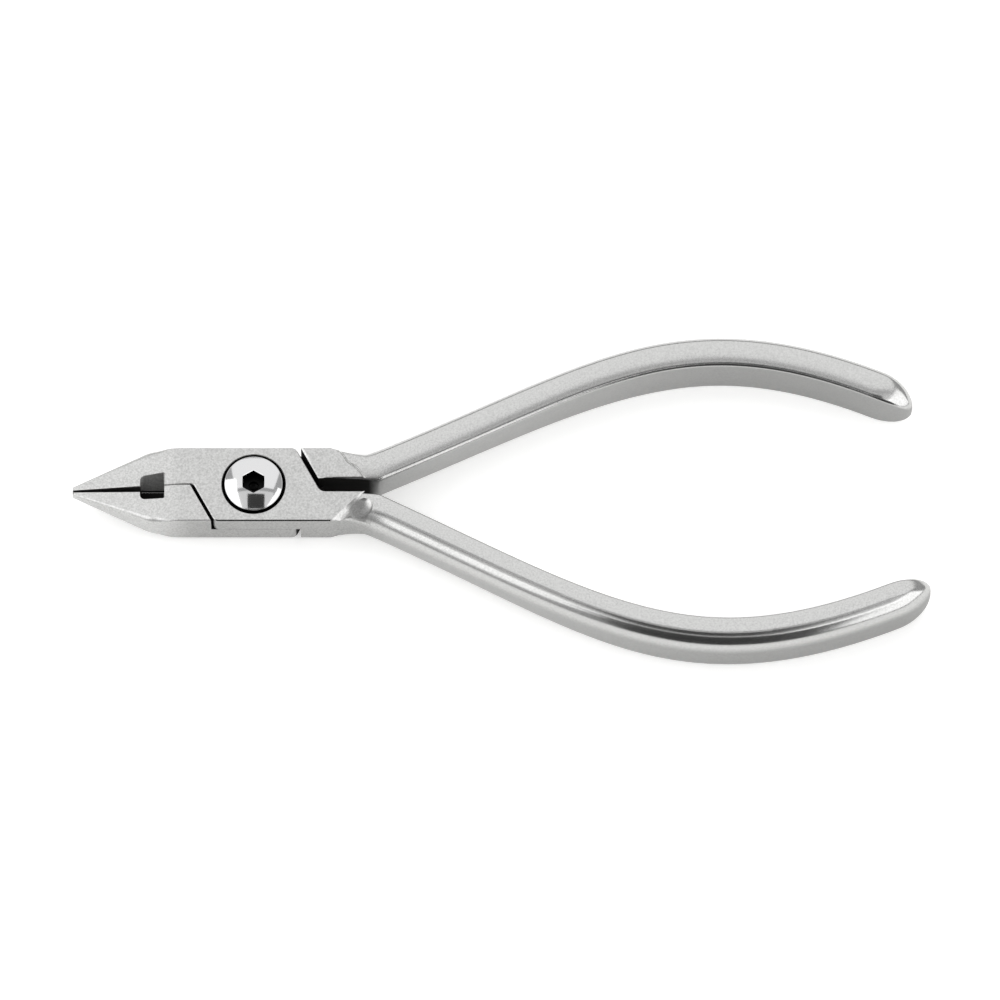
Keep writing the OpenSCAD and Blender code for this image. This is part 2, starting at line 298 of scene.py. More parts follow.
def leverSteel():
    # Stainless steel, bead blasted at the joint and jaws and buffed along the handles: a soft even
    # grey with a fine grain, which turns to long soft highlights on the handles. Its upright sides get
    # painted shade, more of it towards the grip, and are rougher. Walls of slots and bores and other
    # recesses get a dark painted shade, and are rougher too. Blasting pits are about 0.05 mm, and are
    # drawn at 0.27 mm, the finest that shows well.
    look = steelLook
    material, tree = emptyMaterial("blastedBuffedSteelWithPaintedShade")
    place = placeInMillimetres(tree)
    along = addNode(tree, "ShaderNodeSeparateXYZ", {}, {"Vector": place}).outputs["X"]

    # smooth changes along the tool, from one value to another between two places
    changes = ((look["paintedShadeFade"], (1, 0)), (look["darkSides"], (0, 1)), (look["grip"], look["sideShade"]),
               (look["buffing"], (1, look["buffedGrain"])), (look["buffing"], look["roughness"]))
    fading, beyondJaws, shadeHere, contrast, finish = [
        addNode(tree, "ShaderNodeMapRange", {
            "interpolation_type": "SMOOTHSTEP", 1: start, 2: end, 3: first, 4: last},
            {0: along}).outputs["Result"] for (start, end), (first, last) in changes]

    # painted shade in slots, bores and other recesses, which fades out along the gap between the necks
    marked = addNode(tree, "ShaderNodeAttribute", {"attribute_name": "paintedShadeShare"}).outputs["Fac"]
    paintedShade = addNode(tree, "ShaderNodeMath", {"operation": "MULTIPLY"}, {0: marked, 1: fading}).outputs["Value"]

    # painted shade on the sides: those whose direction has hardly any height
    towards = addNode(tree, "ShaderNodeTexCoord").outputs["Normal"]
    height = addNode(tree, "ShaderNodeSeparateXYZ", {}, {"Vector": towards}).outputs["Z"]
    tilt = addNode(tree, "ShaderNodeMath", {"operation": "ABSOLUTE"}, {0: height}).outputs["Value"]
    low, high = look["upright"]
    side = addNode(tree, "ShaderNodeMapRange", {
        "interpolation_type": "SMOOTHSTEP", 1: low, 2: high, 3: 1, 4: 0}, {0: tilt}).outputs["Result"]
    sideShade = addNode(tree, "ShaderNodeMath", {"operation": "MULTIPLY"},
                        {0: beyondJaws, 1: shadeHere}).outputs["Value"]
    dark = addNode(tree, "ShaderNodeMath", {"operation": "MULTIPLY_ADD", "use_clamp": True},
                   {0: side, 1: sideShade, 2: paintedShade}).outputs["Value"]

    # colour: 0.5 + contrast (grain - 0.5) between hollow and top, and buffing lowers the contrast
    pits = addNode(tree, "ShaderNodeTexNoise", {
        "Scale": 1 / look["grain"], "Detail": 2.0, "Roughness": 0.6}, {"Vector": place}).outputs["Fac"]
    low, high = look["grainRange"]
    grain = addNode(tree, "ShaderNodeMapRange", {1: low, 2: high, 3: -0.5, 4: 0.5},
                    {0: pits}).outputs["Result"]
    share = addNode(tree, "ShaderNodeMath", {"operation": "MULTIPLY_ADD", 2: 0.5},
                    {0: grain, 1: contrast}).outputs["Value"]
    grained = addNode(tree, "ShaderNodeMix", {
        "data_type": "RGBA", 6: linear(look["shade"]), 7: linear(look["colour"])},
        {"Factor": share}).outputs[2]
    # the painted shade: a mix towards its dark colour
    colour = addNode(tree, "ShaderNodeMix", {"data_type": "RGBA", 7: linear(look["paintedShade"])},
                     {"Factor": dark, 6: grained}).outputs[2]

    # gloss
    clouds = addNode(tree, "ShaderNodeTexNoise", {
        "Scale": 1 / look["cloud"], "Detail": 3.0, "Roughness": 0.5}, {"Vector": place}).outputs["Fac"]
    (low, high), (glossy, dull) = look["cloudRange"], look["cloudRoughness"]
    cloudy = addNode(tree, "ShaderNodeMapRange", {1: low, 2: high, 3: glossy, 4: dull},
                     {0: clouds}).outputs["Result"]
    uneven = addNode(tree, "ShaderNodeMath", {"operation": "MULTIPLY"},
                     {0: finish, 1: cloudy}).outputs["Value"]
    roughness = addNode(tree, "ShaderNodeMath", {"operation": "MULTIPLY_ADD", 1: look["paintedShadeRoughness"]},
                        {0: dark, 2: uneven}).outputs["Value"]

    relief = addNode(tree, "ShaderNodeBump", {"Distance": look["grainDepth"] * toMetres},
                     {"Height": pits, "Strength": contrast}).outputs["Normal"]
    shader = addNode(tree, "ShaderNodeBsdfPrincipled", {"Metallic": 1.0}, {
        "Base Color": colour, "Roughness": roughness, "Normal": relief})
    addNode(tree, "ShaderNodeOutputMaterial", {}, {"Surface": shader.outputs["BSDF"]})
    return material


screwLook = {
    "colour": "#D2D2D2",
    "shade": "#C8C8C9",          # colour in the turning marks
    "paintedShade": "#161616",           # painted shade in the socket
    "roughness": (0.064, 0.104),  # least and greatest, over a turning mark
    "paintedShadeRoughness": 0.3,        # roughness that the painted shade adds
    "mark": 0.16,                # mm between the turning marks
}


def screwSteel():
    # Hardened steel, turned, mirror polished and chromed: almost white, with sharp reflections and
    # faint circular turning marks that only move its gloss. Its socket gets a black painted shade.
    look = screwLook
    material, tree = emptyMaterial("polishedChromedSteelWithPaintedShade")
    place = placeInMillimetres(tree)
    paintedShade = addNode(tree, "ShaderNodeAttribute", {"attribute_name": "paintedShadeShare"}).outputs["Fac"]
    # a ring wave has 20 / (2 pi) rings for each unit of its scale
    marks = addNode(tree, "ShaderNodeTexWave", {
        "wave_type": "RINGS", "rings_direction": "Z", "Scale": math.pi / 10 / look["mark"],
        "Distortion": 0.3, "Detail": 1.0}, {"Vector": place}).outputs["Fac"]
    polished = addNode(tree, "ShaderNodeMix", {
        "data_type": "RGBA", 6: linear(look["shade"]), 7: linear(look["colour"])},
        {"Factor": marks}).outputs[2]
    colour = addNode(tree, "ShaderNodeMix", {"data_type": "RGBA", 7: linear(look["paintedShade"])},
                     {"Factor": paintedShade, 6: polished}).outputs[2]
    glossy, dull = look["roughness"]
    gloss = addNode(tree, "ShaderNodeMapRange", {3: glossy, 4: dull}, {0: marks}).outputs["Result"]
    roughness = addNode(tree, "ShaderNodeMath", {"operation": "MULTIPLY_ADD", 1: look["paintedShadeRoughness"]},
                        {0: paintedShade, 2: gloss}).outputs["Value"]
    shader = addNode(tree, "ShaderNodeBsdfPrincipled", {"Metallic": 1.0}, {
        "Base Color": colour, "Roughness": roughness})
    addNode(tree, "ShaderNodeOutputMaterial", {}, {"Surface": shader.outputs["BSDF"]})
    return material


halfWidth = frontHigh[1]        # of the joint, across its flat sides
midHeight = (frontLow[2] + frontHigh[2]) / 2        # of the lap between the plates
halfThick = midHeight           # the joint's back face is at height 0
jawLength = -frontLow[0]

leverShape = {
    "slotAngle": 28.5,          # degrees, of the slanted slots from square across the joint
    "plateReachJaw": 7.7,       # pivot to the plate's slanted edge on the jaw side
    "plateReachHandle": 8.05,   # pivot to its slanted edge on the handle side
    "jawSlot": 0.46,            # width of the slanted slot on the jaw side
    "shoulderSlot": 0.7,        # width of the slanted slot on the handle side
    "lapGap": 0.04,
    "jawBend": 0.5,             # inner bend of the jaw-side slot
    "shoulderBend": 1.2,        # inner bend of the handle-side slot
    "plateCorner": 1.0,         # outer corners of the plate beside the slots
    "neckGap": 2.1,             # width of the straight gap between the two necks
    "faceLength": 11.2,         # pivot to where the joint's flat face starts to run out
    "faceEnd": (1.2, 0.36),     # how far the plate's side runs on into the neck, along and inwards
    "intoHandle": 0.3,          # how far the plate's end lies inside the handle
    "edge": 0.2,                # rounding of the joint's crisp edges
    "paintedEdgeReflection": 0.9,           # painted dark reflection on the plate's long edge, where 1 is the slots' painted shade
    "shoulderChamfer": 0.28,    # width of the chamfer on the shoulder's slanted edge
    "slotChamfer": 0.12,        # width of the chamfer on the slots' other edges
    "chamferDepth": 0.55,       # depth of both for each mm of their width
    "thinFrom": 11.0,           # pivot to where the jaws begin to get thinner
    "narrowFrom": 14.9,         # pivot to where they begin to get narrower
    "roundFrom": 12.0,          # pivot to where the jaws' outer edges begin to be rounded
    "roundOver": 2.4,           # length over which that rounding grows
    "jawCorner": 6.0,           # radius of the corner where the jaws begin to get narrower
    "tipWidth": 0.6,
    "tipThick": 1.5,
    "tipRound": 0.15,           # largest rounding in the last millimetre before the tip
    "jawRound": (1.15, 1.55),   # rounding of the jaws' outer edges, across and in depth
    "closeGap": 0.004,          # between the closed jaws
    "bevelAngle": 20.0,         # degrees, of the cutting bevel from the closing plane
    "windowFrom": 13.0,
    "windowLength": 3.5,
    "windowHeight": 4.0,
    "windowCorner": 0.7,        # towards the tip
    "windowNearCorner": 0.2,
    "windowSlope": 34.0,        # degrees from upright, of its wall above the lap
    "windowFoot": 0.01,         # closing plane to the foot of that wall, at the lap
    "windowShadeHeight": 0.27,         # height of the painted shade at its foot
    "windowEdge": 0.08,         # chamfer where it opens in the jaws' faces
    "windowShade": 0.3,         # painted shade on its walls, where 1 is the slots' painted shade
}

handleShape = {
    "frontReach": 98.7,         # pivot to the end of the front lever's handle
    "rearReach": 95.9,
    "lean": 1.05,               # degrees that each handle leans away from the closing plane
    "endOffset": 13.8,          # closing plane to the centre of a handle's end, before it leans
    "width": 4.79,
    "neckThick": 6.5,
    "gripThick": frontHigh[2] - frontLow[2],
    "flare": 24.7,              # degrees at which the handles leave the joint
    "toe": 25.9,                # degrees at which their ends turn inwards
    "bowNear": 37.6,            # how far the first half of the bow stays straight
    "bowFar": 39.1,             # how far the second half stays straight
    "neckLength": 18.3,
    "neckPull": (0.3, -0.35),   # bend of the neck's outer side, along and across
    "overlap": 0.4,             # how far the handle starts inside the plate
    "sideOverlap": 0.06,        # how far its first section stays inside the plate's side
    "crisp": 0.25,              # rounding of the section where the handle leaves the joint
    "roundOver": 9.0,           # length over which it becomes the handle's own
    "crown": 0.26,              # height of the rounded front and back
    "crownFull": 0.6,           # share of the height from which the crown has its full effect
    "outerFront": (2.3, 3.0),   # rounding of the section's corners, across and in depth
    "innerFront": (0.32, 0.35),
    "innerBack": (0.45, 0.5),
    "outerBack": (1.2, 1.5),
    "cornerShare": 0.98,        # most of the section that its corners may take, where it gets small
    "gripShare": (0.1, 0.55),   # shares of the bow between which the handle gets thicker
    "noseDrop": 3.2,            # how much thinner, each side, over the rounded end
    "noseShare": 1.3,           # length of the rounded end, as a share of the width
    "noseShift": 0.5,           # how far the very end lies inwards of the handle's middle
}


def halfThickAt(x):
    # half thickness along the lever: flat at the joint, then a straight slope to the tip
    slope = (halfThick - leverShape["tipThick"] / 2) / (jawLength - leverShape["thinFrom"])
    return halfThick - slope * np.maximum(0, -x - leverShape["thinFrom"])


def slanted(x, y):
    # where a slanted edge that meets the closing plane at x crosses height y
    return x - y * math.tan(math.radians(leverShape["slotAngle"]))


def plateSolid():
    # The plate with its jaw and neck, as a stack of outlines. The edge's section is a quarter ellipse:
    # inset = across (1 - cos a), depth = deep (1 - sin a). Heights follow the jaw's slope.
    s = leverShape
    lean = math.cos(math.radians(s["slotAngle"]))
    jawEdge = s["plateReachJaw"] / lean
    shoulderEdge = s["plateReachHandle"] / lean
    neck, gap = s["neckGap"] / 2, s["closeGap"] / 2
    outline = roundedOutline([
        [-jawLength, gap, 0],
        [-jawEdge, gap, s["jawBend"]],
        [slanted(-jawEdge, -halfWidth), -halfWidth, s["plateCorner"]],
        [s["faceLength"], -halfWidth, 0],
        [s["faceLength"] + s["faceEnd"][0], -halfWidth + s["faceEnd"][1], 0],
        [s["faceLength"] + halfWidth - neck + s["intoHandle"], -neck, 0],
        [slanted(shoulderEdge, -neck), -neck, s["shoulderBend"]],
        [slanted(shoulderEdge, halfWidth), halfWidth, s["plateCorner"]],
        [-s["narrowFrom"], halfWidth, s["jawCorner"]],
        [-jawLength, s["tipWidth"], 0]])
    for x in np.append(s["thinFrom"], s["roundFrom"] + s["roundOver"] * np.linspace(0, 1, 5)):
        outline = splitAt(outline, -x)
    x, y = outline.T
    half = halfThickAt(x)
    # the rounding grows along the jaw's outer side, and gets smaller with the jaw's thickness
    outer = (y > s["tipWidth"] / 2) * smooth((-x - s["roundFrom"]) / s["roundOver"])
    fade = half / halfThick
    across = s["edge"] + (s["jawRound"][0] * fade - s["edge"]) * outer
    across = np.where(x < 1 - jawLength, np.minimum(across, s["tipRound"]), across)
    deep = s["edge"] + (s["jawRound"][1] * fade - s["edge"]) * outer
    angles = np.radians(np.linspace(0, 90, 7))
    upper = [withHeight(inset(outline, across * (1 - math.cos(a))), half - deep * (1 - math.sin(a)))
             for a in angles]
    lower = [ring * (1, 1, -1) for ring in upper[::-1]]
    creases = np.flatnonzero(np.abs(x + s["thinFrom"]) < 1e-6)
    return closedStack("plate", lower + upper, sorted(creases))


def backCutter():
    # What is cut away below the lap, between this lever's jaw and its shoulder, where the other
    # lever's plate lies. It flares at the joint's face, which chamfers the edges that it leaves.
    s = leverShape
    lean = math.cos(math.radians(s["slotAngle"]))
    jawStop = (s["plateReachJaw"] + s["jawSlot"]) / lean
    shoulderStop = (s["plateReachHandle"] + s["shoulderSlot"]) / lean
    inner = s["neckGap"] / 2 - s["lapGap"]
    far = halfWidth + 2.5 * over
    past = 0.08                 # how far the flare goes on beyond the joint's face
    spare = 0.05                # room beyond the end of the jaw side's bend
    corner = s["jawBend"] * math.tan(math.radians(45 - s["slotAngle"] / 2)) + spare
    outline = roundedOutline([
        [-jawStop - corner, -far, 0],
        [slanted(shoulderStop, far), -far, 0],
        [slanted(shoulderStop, inner), -inner, 0],
        [s["faceLength"], -inner, 0],
        [s["faceLength"], far, 0],
        [slanted(-jawStop, -far), far, 0],
        [-jawStop, 0, s["jawBend"]],
        [-jawStop - corner, 0, 0]])
    # the shoulder's edge is chamfered more than the jaw's
    x, y = outline.T
    chamfer = np.where((x > 0) & (y < 0), s["shoulderChamfer"], s["slotChamfer"])
    flared = inset(outline, -(chamfer + past / s["chamferDepth"]))
    rings = [withHeight(flared, -halfThick - over),
             withHeight(flared, -halfThick - past),
             withHeight(outline, -halfThick + chamfer * s["chamferDepth"]),
             withHeight(outline, s["lapGap"] / 2)]
    return closedStack("backCutter", rings)


def windowCutter():
    # The window through both jaws. Its wall is upright below the lap. Above it the wall slopes down:
    # distance from the closing plane = foot + height * tan slope. It flares at the jaws' faces.
    s = leverShape
    near, far, up = -s["windowFrom"], -s["windowFrom"] - s["windowLength"], s["windowHeight"] / 2
    outline = roundedOutline([
        [far, -over, 0], [near, -over, 0], [near, up, s["windowNearCorner"]], [far, up, s["windowCorner"]]])
    x, y = outline.T
    half = halfThickAt(x)
    edge = s["windowEdge"]

    def sloped(height):
        # the outline at a height above the lap, narrowed towards the closing plane
        wall = s["windowFoot"] + height * math.tan(math.radians(s["windowSlope"]))
        return np.column_stack([x, np.where(y > 0, y / up * wall, y)])

    return closedStack("windowCutter", [
        withHeight(inset(outline, -(edge + over)), -half - over),
        withHeight(outline, edge - half), withHeight(outline, 0), withHeight(sloped(0), 0),
        withHeight(sloped(s["windowShadeHeight"]), s["windowShadeHeight"]),
        withHeight(sloped(half - edge), half - edge),
        withHeight(inset(sloped(half - edge), -(edge + over)), half + over)])


def bevelCutter():
    # The cutting bevel, below the lap: a wedge that leans away from the closing plane
    s = leverShape
    gap, deep = s["closeGap"] / 2, halfThick + over
    wide = deep * math.tan(math.radians(s["bevelAngle"]))
    start = -s["windowFrom"] - s["windowLength"] / 2
    profile = np.array([[gap, 0], [gap + wide, -deep], [-2 * over, -deep], [-2 * over, 0]])
    rings = [np.column_stack([np.full(4, x), profile]) for x in (start, -jawLength - 2 * over)]
    return closedStack("bevelCutter", rings)


def handlePath(reach, lean):
    # Centre, direction across, half width and half thickness at each station. The neck lies between its
    # straight inner side and a quadratic curve. The bow is one cubic curve to the front lever's reach,
    # and a shorter handle stops earlier on it. The end is half an ellipse.
    h, s = handleShape, leverShape
    neckSteps, bowSteps, noseSteps = 22, 140, 12
    neck = s["neckGap"] / 2
    flare, toe = math.radians(h["flare"]), math.radians(h["toe"])
    end = np.array([h["frontReach"], h["endOffset"]])
    innerFoot = np.array([h["neckLength"], neck])
    foot = innerFoot + h["width"] / 2 * np.array([-math.sin(flare), math.cos(flare)])
    outerFoot = 2 * foot - innerFoot
    nearPull = foot + h["bowNear"] * np.array([math.cos(flare), math.sin(flare)])
    farPull = end + h["bowFar"] * np.array([-math.cos(toe), math.sin(toe)])
    # neck
    u = np.linspace(0, 1, neckSteps)[:-1, None]
    startX = s["faceLength"] - h["overlap"]
    inner = np.array([startX, neck]) * (1 - u) + innerFoot * u
    start = np.array([startX, halfWidth - h["sideOverlap"]])
    pull = np.array([(s["faceLength"] + outerFoot[0]) / 2, outerFoot[1]]) + h["neckPull"]
    outer = (1 - u) ** 2 * start + 2 * (1 - u) * u * pull + u * u * outerFoot
    # bow, with tEnd and tNose the curve's parameter at the handle's end and where its end begins
    perShare = 3 * h["bowFar"]
    tEnd = 1 - (h["frontReach"] - reach) / (perShare * math.cos(toe))
    tNose = tEnd - h["noseShare"] * h["width"] / perShare
    noseShare = np.sin(np.linspace(0, 1, noseSteps)[1:] * math.radians(88))
    t = np.concatenate([tNose * np.linspace(0, 1, bowSteps), tNose + (tEnd - tNose) * noseShare])[:, None]
    bow = ((1 - t) ** 3 * foot + 3 * (1 - t) ** 2 * t * nearPull
           + 3 * (1 - t) * t ** 2 * farPull + t ** 3 * end)
    heading = ((1 - t) ** 2 * (nearPull - foot) + 2 * (1 - t) * t * (farPull - nearPull)
               + t ** 2 * (end - farPull))
    bowAcross = unit(np.column_stack([-heading[:, 1], heading[:, 0]]))
    left = np.concatenate([np.ones(bowSteps), np.sqrt(1 - noseShare ** 2)])
    low, high = h["gripShare"]
    grip = smooth((t[:, 0] - low) / (high - low))
    bowThick = (h["neckThick"] + (h["gripThick"] - h["neckThick"]) * grip) / 2 - h["noseDrop"] * (1 - left)
    bow = bow - bowAcross * (h["noseShift"] * (1 - left))[:, None]
    centre = np.vstack([(inner + outer) / 2, bow])
    sideways = np.vstack([unit(outer - inner), bowAcross])
    halfWide = np.concatenate([np.linalg.norm(outer - inner, axis=1) / 2, h["width"] / 2 * left])
    halfThicks = np.concatenate([np.full(len(u), h["neckThick"] / 2), bowThick])
    # the lean comes in evenly along the neck
    turn = np.radians(lean) * np.concatenate([u[:, 0], np.ones(len(t))])
    return turned(centre, turn), turned(sideways, turn), halfWide, halfThicks


def handleSolid(reach, lean):
    # The handle's section is a rectangle with an elliptic arc at each corner and crowned faces:
    # height += crown (1 - (across / half width)^2). One ring of it stands at each station.
    h = handleShape
    centre, sideways, halfWide, thick = handlePath(reach, lean)
    grow = smooth((centre[:, :1] - leverShape["faceLength"] + h["overlap"]) / h["roundOver"])
    halfWide, thick = halfWide[:, None], thick[:, None]
    crown = h["crown"] * grow
    body = thick - crown
    angle = np.linspace(0, math.pi / 2, 7)
    corners = []
    # corners in order round the section
    for corner, outwards, up in (("outerFront", 1, 1), ("innerFront", -1, 1),
                                 ("innerBack", -1, -1), ("outerBack", 1, -1)):
        across, deep = [np.minimum(h["crisp"] + (full - h["crisp"]) * grow, h["cornerShare"] * room)
                        for full, room in zip(h[corner], (halfWide, body))]
        sweep = angle if outwards * up > 0 else angle[::-1]
        corners.append(np.stack([outwards * (halfWide - across + across * np.cos(sweep)),
                                 up * (body - deep + deep * np.sin(sweep))], -1))
    # between two corners, six points share the side
    section = []
    share = np.linspace(0, 1, 8)[1:-1, None]
    for first, second in zip(corners, corners[1:] + corners[:1]):
        section += [first, first[:, -1:] * (1 - share) + second[:, :1] * share]
    section = np.concatenate(section, 1)
    across, up = section[..., 0], section[..., 1]
    crowned = np.minimum(1, np.abs(up) / (h["crownFull"] * body))
    up = up + np.sign(up) * crown * (1 - (across / halfWide) ** 2) * crowned
    plan = centre[:, None] + sideways[:, None] * across[..., None]
    rings = np.stack([plan[..., 0], -plan[..., 1], up], -1)
    return closedStack("handle", rings)


neckShape = {
    # The joint's flat face runs out along a line at 45 degrees. Front and back differ: the front has a
    # bright facet that gets narrower inwards, with a hollow beyond it, and the back only a fine groove.
    "frontDepth": (0.85, 0.12),     # of the facet at its outer and inner end
    "frontSlope": 0.95,             # depth for each mm of the facet's width
    "frontRise": (1.6, 2.4),        # from the facet's foot to the handle's face, at the same ends
    "backDepth": (0.2, 0.2),
    "backSlope": 1.0,
    "backRise": (0.5, 0.5),
    "backBend": 0.35,               # how far the groove bends away from the straight line
    "hollow": (15.5, -3.95),        # place of the hollow's middle
    "hollowRadii": (1.7, 2.3, 1.3),     # across the line, along it and in height
    "hollowDepth": 0.8,
    "hollowShade": 0.5,             # painted shade in it, where 1 is the slots' painted shade
}


def grooveCutter(depths, slope, rises, bend, side):
    # Along the line the depth goes evenly from one value to the other. Away from the line the cut goes
    # down at its slope to the foot, then rises as 3 x^2 - 2 x^3 to just above the face. The line itself
    # bends away twice: bend * sin(2 pi share)^2.
    s = leverShape
    lineLength = (halfWidth - s["neckGap"] / 2) * math.sqrt(2)
    past, above = 1.5, 0.35     # how far it runs on past the line's ends, and how high it ends
    along = np.linspace(-past, lineLength + past, 40)[:, None]
    share = np.clip(along / lineLength, 0, 1)
    depth = depths[0] + (depths[1] - depths[0]) * share
    rise = rises[0] + (rises[1] - rises[0]) * share
    foot = depth / slope
    climb = np.linspace(0, 1, 26)[None, :]
    away = np.concatenate([0 * foot - over, 0 * foot, foot + climb * rise], 1)
    away = away + bend * np.sin(2 * math.pi * share) ** 2
    height = np.concatenate([halfThick + slope * over + 0 * foot, halfThick + 0 * foot,
                             halfThick - depth + smooth(climb) * (depth + above)], 1)
    top = np.full_like(foot, halfThick + 3 * over)
    away = np.concatenate([away, away[:, -1:], away[:, :1]], 1)
    height = np.concatenate([height, top, top], 1)
    x = s["faceLength"] + (along + away) / math.sqrt(2)
    y = -halfWidth + (along - away) / math.sqrt(2)
    return closedStack("grooveCutter", np.stack([x, y, height * side], -1))


def hollowCutter():
    # An ellipsoid, turned 45 degrees, whose lowest point lies at the hollow's depth. Its rings stop just
    # short of the poles.
    n = neckShape
    across, along, tall = n["hollowRadii"]
    rings = []
    for angle in math.pi * np.linspace(-0.49, 0.49, 30):
        ring = circle(math.cos(angle), 0)
        plan = turned(ring[:, :2] * (along, across), math.radians(45)) + n["hollow"]
        rings.append(withHeight(plan, halfThick - n["hollowDepth"] + tall * (1 + math.sin(angle))))
    return closedStack("hollowCutter", rings)


def neckCutters():
    n = neckShape
    return [grooveCutter(n["frontDepth"], n["frontSlope"], n["frontRise"], 0, 1),
            grooveCutter(n["backDepth"], n["backSlope"], n["backRise"], n["backBend"], -1), hollowCutter()]


screwShape = {
    "headGap": 0.38,            # all round the head in its counterbore
    "headSeat": 1.5,            # depth of the counterbore
    "headStand": 0.3,           # rim's height above the joint's face
    "dome": 0.9,                # height of the dome above the rim
    "rimRound": 0.1,
    "underEdge": 0.1,           # chamfer under the head
    "shank": 5.0,
    "shankGap": 0.03,
    "thread": 4.0,
    "threadGap": 0.05,          # fine line round the threaded end, where it shows at the back
    "threadEdge": 0.2,          # chamfer at its end
    "threadEnd": 0.02,          # how far inside the joint's back face it ends
    "boreEdge": 0.1,            # chamfer round the counterbore
    "holeEdge": 0.15,           # chamfer round the threaded hole
    "socket": 3.05,             # across the flats
    "socketTurn": 30.0,         # degrees
    "socketDepth": 2.0,
    "socketChamfer": 0.1,
    "socketMouth": 0.12,        # from the dome's top down to the socket's corners
    "drill": 1.5,
    "drillDepth": 0.8,
    "drillTip": 0.3,            # height of the cone at its bottom
    "seatGap": 0.04,            # under the head
}
headRadius = screwHigh[0]


def lathed(name, profile, steps=96):
    # a profile of (radius, height) turned about the pivot's axis
    return closedStack(name, [circle(radius, z, steps) for radius, z in profile])


def counterboreCutter():
    # the front lever's bore with the seat for the head
    s = screwShape
    wide, edge = headRadius + s["headGap"], s["boreEdge"]
    floor = halfThick - s["headSeat"]
    bore = s["shank"] / 2 + s["shankGap"]
    return lathed("counterbore", [(bore, -over), (bore, floor), (wide, floor), (wide, halfThick - edge),
                                  (wide + edge + over, halfThick + over)])


def threadCutter():
    # the rear lever's hole, where the thread ends
    s = screwShape
    hole, edge = s["thread"] / 2 + s["threadGap"], s["holeEdge"]
    return lathed("threadHole", [(hole, -over), (hole, halfThick - edge),
                                 (hole + edge + over, halfThick + over)])


paintedShadeShape = {
    # where painted shade goes: how far, in mm, a face may lie from the wall that it belongs to
    "slot": 0.12,
    "bore": 0.02,
    "window": 0.05,             # along the jaw
    "jawFace": 1.0,             # from the lap, at least, for the jaws' own flat faces
    "windowAbove": 0.1,         # away from the closing plane
    "foot": 0.01,               # below the foot of the window's sloping wall
    "gap": 0.3,                 # beyond the gap between the necks
    # and where the painted shade ends
    "rim": 0.3,                 # from the joint's sides
    "mouth": 0.11,              # from the joint's front and back
    "bevel": 1.6,               # from the closing plane
    "neck": 7.0,                # from the pivot to its start between the necks
    "deepest": 2.0,             # below the face, for the hollow
    "oval": 1.15,               # of the hollow's own size, as a share, at the painted shade's rim
    "fade": 0.6,                # over which it fades out there
    # height of a face's direction
    "upright": 0.3,             # at most, for an upright wall
    "flat": 0.9,                # at least, for a flat one
    "edge": (0.1, 0.98),        # between these, for a rounded edge
}


def leverPaintedShade(centres, directions):
    # Share of painted shade on each face: shade falls in slots, bores, recesses and the hollow, and a painted
    # dark reflection lies along the plate's long edge. The slots' walls stand along lines at the slots'
    # angle:
    # distance from the pivot, square to the line, is a plate's reach or the reach plus the slot. Bores lie
    # near the axis, bevels and window near the closing plane. The hollow's painted shade is an oval across
    # it.
    s, n, f = leverShape, neckShape, paintedShadeShape
    angle = math.radians(s["slotAngle"])
    x, y, z = centres.T
    tilt = np.abs(directions[:, 2])
    upright, flat = tilt < f["upright"], tilt > f["flat"]

    turnedOver = np.where(z > 0, 0, 1)
    square = x * math.cos(angle) + (1 - 2 * turnedOver) * y * math.sin(angle)
    jaw = -(s["plateReachJaw"] + turnedOver * s["jawSlot"])
    shoulder = s["plateReachHandle"] + turnedOver * s["shoulderSlot"]
    atSlot = np.minimum(np.abs(square - jaw), np.abs(square - shoulder)) < f["slot"]
    slot = upright & atSlot & (np.abs(y) < halfWidth - f["rim"])

    aroundAxis = np.hypot(x, y) < headRadius + screwShape["headGap"] + f["bore"]
    bore = aroundAxis & (np.abs(z) < halfThick - f["mouth"])
    lap = flat & (np.abs(z) < s["lapGap"])
    bevel = (x < -s["windowFrom"]) & (z < -s["lapGap"]) & (y < f["bevel"]) & ~flat

    fromWindow = np.abs(x + s["windowFrom"] + s["windowLength"] / 2) - s["windowLength"] / 2
    window = ((fromWindow < f["window"]) & (y < s["windowHeight"] / 2 + f["windowAbove"])
              & ~(flat & (np.abs(z) > f["jawFace"])))
    windowFoot = window & (z > -f["foot"]) & (z < s["windowShadeHeight"])

    # painted shade in the hollow, an oval across it that fades out towards its rim
    fromHollow = turned(centres[:, :2] - n["hollow"], math.radians(-45)) / n["hollowRadii"][:2]
    hollow = smooth((f["oval"] - np.hypot(*fromHollow.T)) / f["fade"])
    hollow = hollow * ((z > halfThick - f["deepest"]) & ~upright)
    neckWall = (upright & (x > f["neck"]) & (x < steelLook["paintedShadeFade"][1])
                & (np.abs(y) < s["neckGap"] / 2 + f["gap"]))
    # painted dark reflection on the rounding along the plate's long edge
    low, high = f["edge"]
    plateEdge = ((tilt > low) & (tilt < high) & (y < -halfWidth + s["edge"])
                 & (z > halfThick - s["edge"]) & (np.abs(x) < s["faceLength"]))

    # full painted shade in slots, bores, lap, bevel, the window's foot and between the necks; less on the
    # window's walls and in the hollow, and a painted dark reflection on the plate's edge
    full = (slot | bore | lap | bevel | windowFoot | neckWall) * 1.0
    return np.max([full, window * s["windowShade"], hollow * n["hollowShade"],
                   plateEdge * s["paintedEdgeReflection"]], axis=0)


